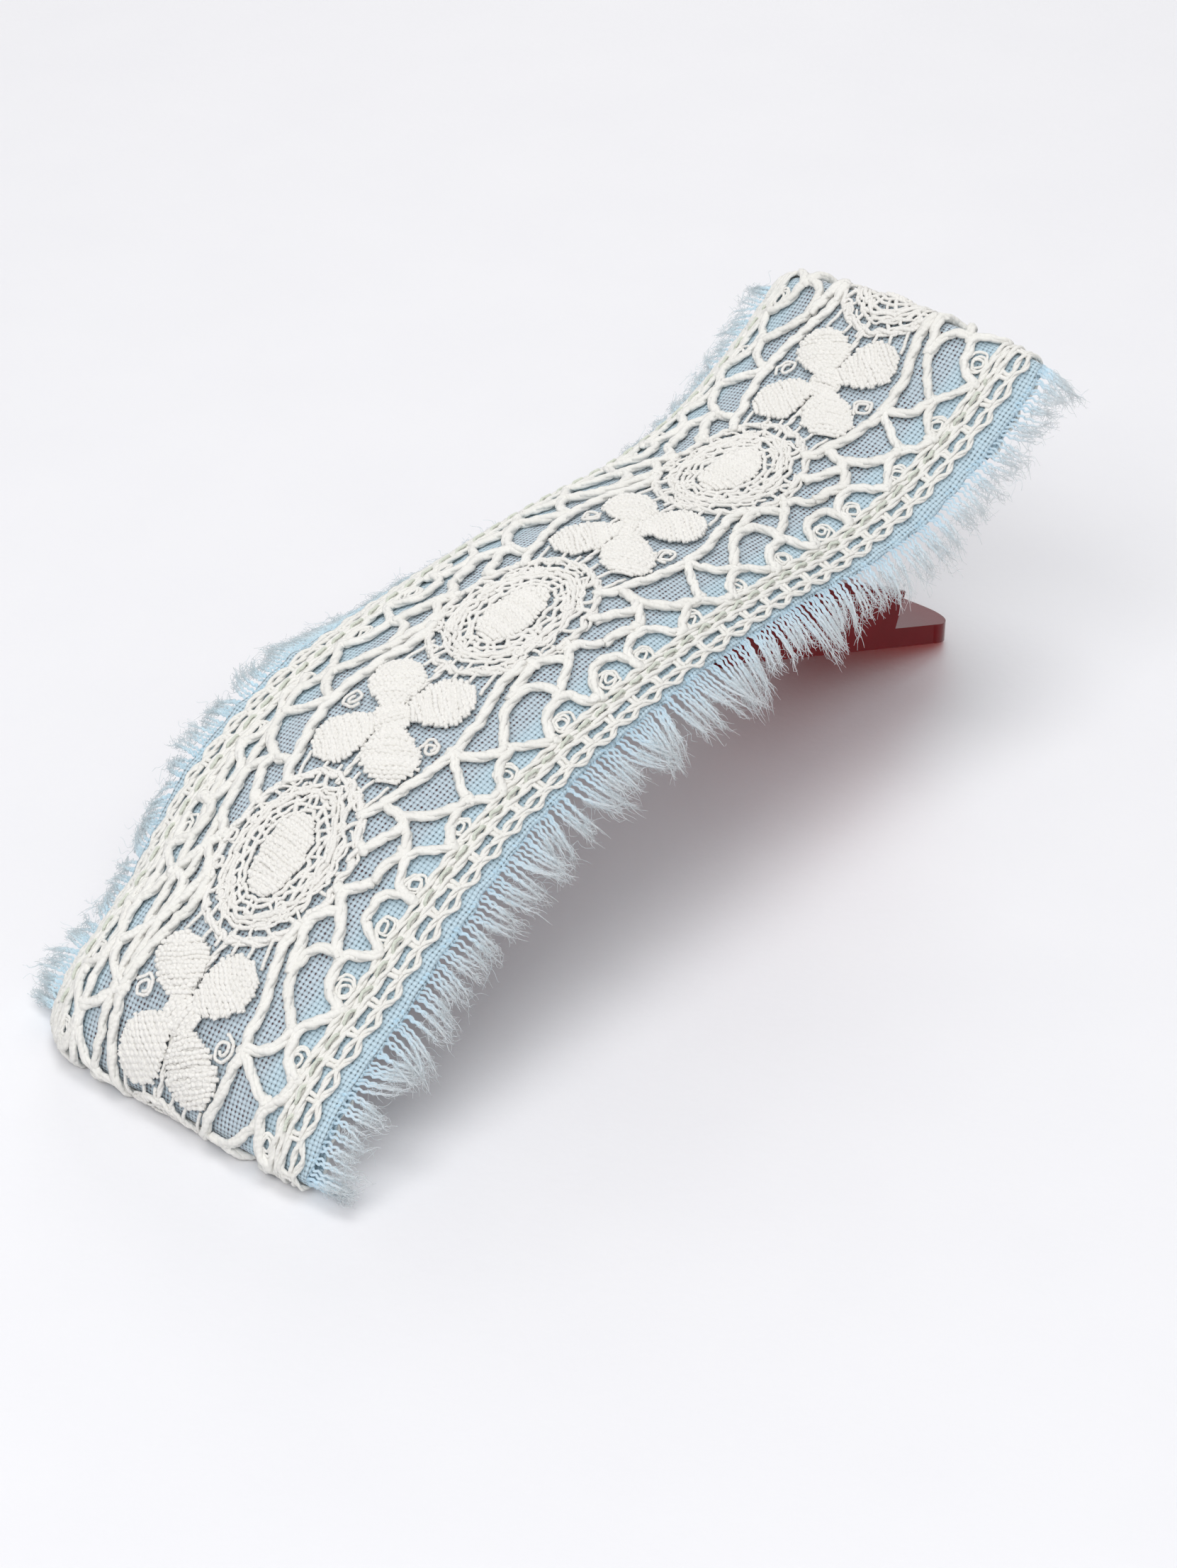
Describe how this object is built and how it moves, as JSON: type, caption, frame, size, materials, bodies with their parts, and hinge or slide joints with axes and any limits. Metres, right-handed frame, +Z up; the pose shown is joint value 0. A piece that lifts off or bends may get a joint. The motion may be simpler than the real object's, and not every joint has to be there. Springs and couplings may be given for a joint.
{
  "type": "hair clip",
  "caption": "Sprung beak hair clip in translucent dark red plastic, its S-curved top blade covered by a frayed pale blue cotton strip and a cream cotton lace ribbon.",
  "frame": {"origin": "middle of the clip's length and width, on the plane it stands on", "axes": "+X from the nose to the finger tab, +Y across the clip to its left, +Z up"},
  "size_m": [0.1155, 0.0488, 0.0416],
  "materials": {
    "red_plastic": "glossy, translucent",
    "pin_steel": "drawn, bright",
    "spring_steel": "drawn wire",
    "glue": "cloudy film",
    "blue_cotton": "loose plain weave",
    "frayed_cotton": "loose crimped threads",
    "lace_cotton": "matte cotton lace",
    "sewing_thread": "matte twisted thread"
  },
  "bodies": {
    "upper_half": {"upper_jaw": "red_plastic", "hinge_pin": "pin_steel", "torsion_spring": "spring_steel", "glue_layer": "glue", "fabric_strip": "blue_cotton", "fringe_left": "frayed_cotton", "fringe_right": "frayed_cotton", "lace_ground": "lace_cotton", "lace_border_left": "lace_cotton", "lace_border_right": "lace_cotton", "lace_medallions": "lace_cotton", "lace_leaves": "lace_cotton", "stitching_left": "sewing_thread", "stitching_right": "sewing_thread"},
    "lower_half": {"lower_jaw": "red_plastic"}
  },
  "joints": [
    {"name": "jaw_open", "type": "hinge", "parent": "upper_half", "child": "lower_half", "pos_m": [0.01794, 0, 0.02412], "axis": [0, -1, 0], "range_deg": [0, 28], "stiffness_Nm_per_rad": 0.15, "springref_deg": -68.75, "deforming": ["torsion_spring"]}
  ]
}
